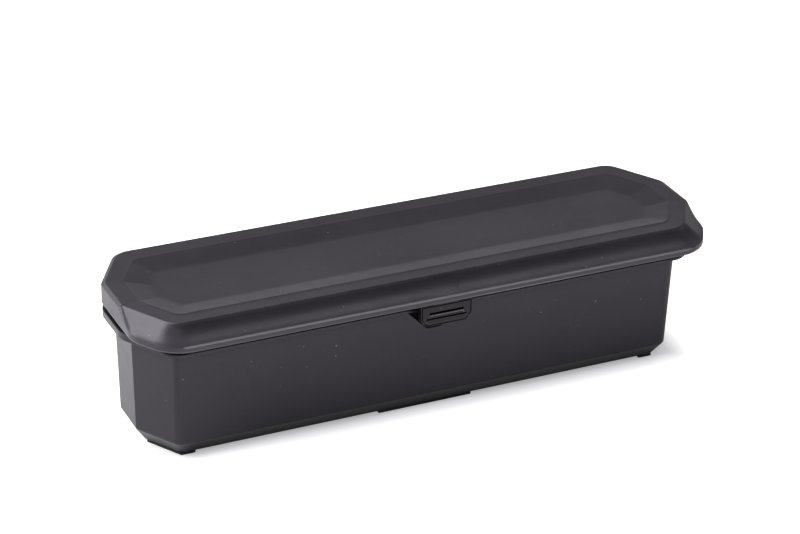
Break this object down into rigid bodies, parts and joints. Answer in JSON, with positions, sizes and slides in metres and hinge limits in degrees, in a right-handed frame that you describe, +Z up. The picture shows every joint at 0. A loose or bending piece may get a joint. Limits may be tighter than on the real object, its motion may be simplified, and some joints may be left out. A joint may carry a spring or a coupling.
{
  "type": "accessory box",
  "caption": "Long shallow storage box with clipped corners, a hinged lid with a stacking tray, and a sprung snap latch at the front.",
  "frame": {"origin": "middle of the base, on the surface that the box stands on", "axes": "+X along the box to its right end, +Y to the hinges at the back, +Z up; the latch is on the -Y side"},
  "size_m": [0.3644, 0.1188, 0.0932],
  "materials": {
    "tub_plastic": "fine matte grain",
    "lid_plastic": "fine matte grain",
    "latch_plastic": "satin gloss",
    "foot_rubber": "matte",
    "pin_steel": "bright drawn"
  },
  "bodies": {
    "tub": {"tub": "tub_plastic", "hinge_pin_left": "pin_steel", "hinge_pin_right": "pin_steel", "foot_front": "foot_rubber", "foot_rear": "foot_rubber", "foot_front_left": "foot_rubber", "foot_front_right": "foot_rubber", "foot_rear_left": "foot_rubber", "foot_rear_right": "foot_rubber"},
    "lid": {"lid": "lid_plastic", "latch_pin": "pin_steel", "latch_spring": "pin_steel"},
    "latch": {"latch": "latch_plastic"}
  },
  "joints": [
    {"name": "lid_hinge", "type": "hinge", "parent": "tub", "child": "lid", "pos_m": [0, 0.0559, 0.0805], "axis": [-1, 0, 0], "range_deg": [0, 105]},
    {"name": "latch_pivot", "type": "hinge", "parent": "lid", "child": "latch", "pos_m": [0, -0.0552, 0.082], "axis": [-1, 0, 0], "range_deg": [0, 22], "stiffness_Nm_per_rad": 0.02, "springref_deg": -11.46}
  ]
}
